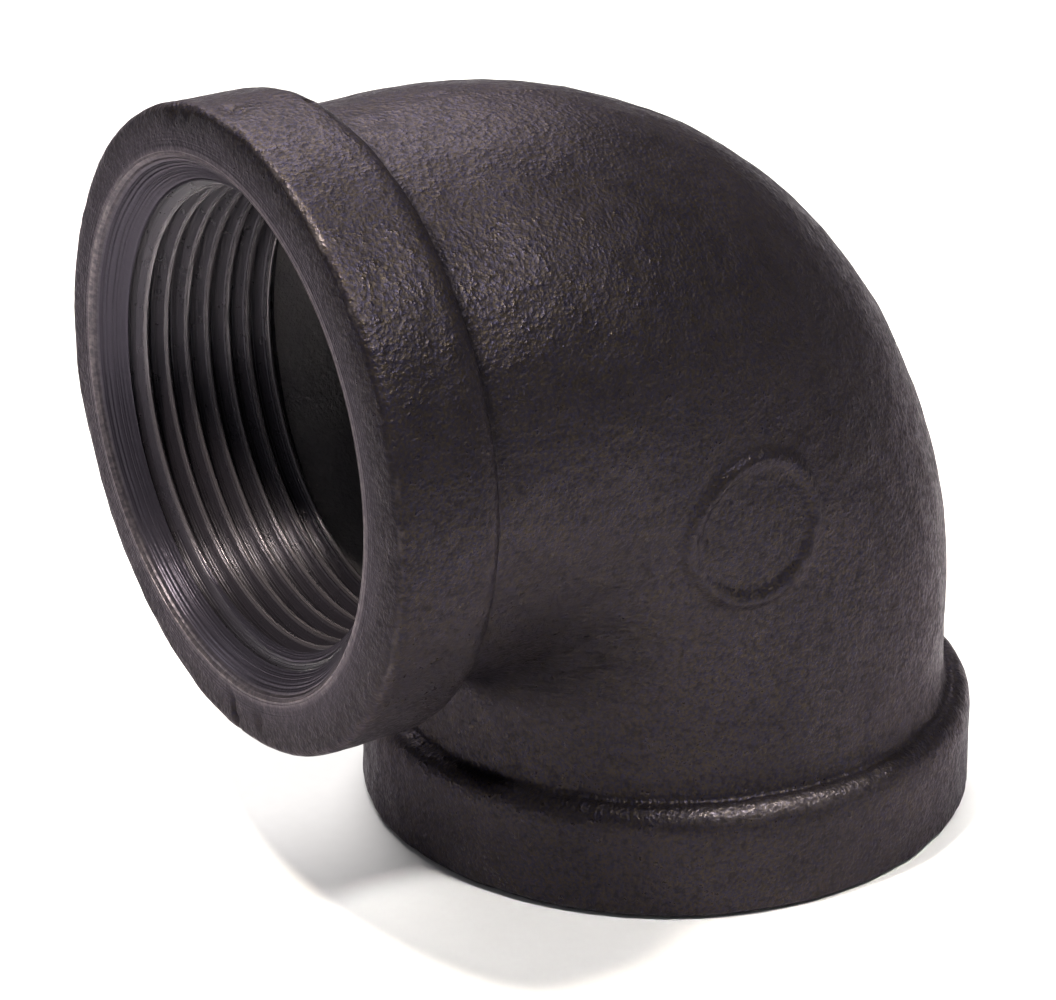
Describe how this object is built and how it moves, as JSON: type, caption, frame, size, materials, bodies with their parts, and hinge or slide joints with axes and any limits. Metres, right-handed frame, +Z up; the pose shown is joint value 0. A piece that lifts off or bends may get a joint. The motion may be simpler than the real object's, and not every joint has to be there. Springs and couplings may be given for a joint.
{
  "type": "pipe elbow",
  "caption": "Ninety-degree banded pipe elbow in black malleable iron, with a chamfered, tapered female pipe thread in each end.",
  "frame": {"origin": "under the middle of the bounding box, on the plane of the lower socket's end face", "axes": "+Z is up: the lower socket opens along -Z and the side socket along -X; the casting is symmetric about y = 0"},
  "size_m": [0.08, 0.0616, 0.0801],
  "materials": {
    "black_iron": "oiled black casting with a fine sand grain, satin, worn brighter on edges"
  },
  "bodies": {
    "root": {"elbow_casting": "black_iron"}
  },
  "joints": []
}
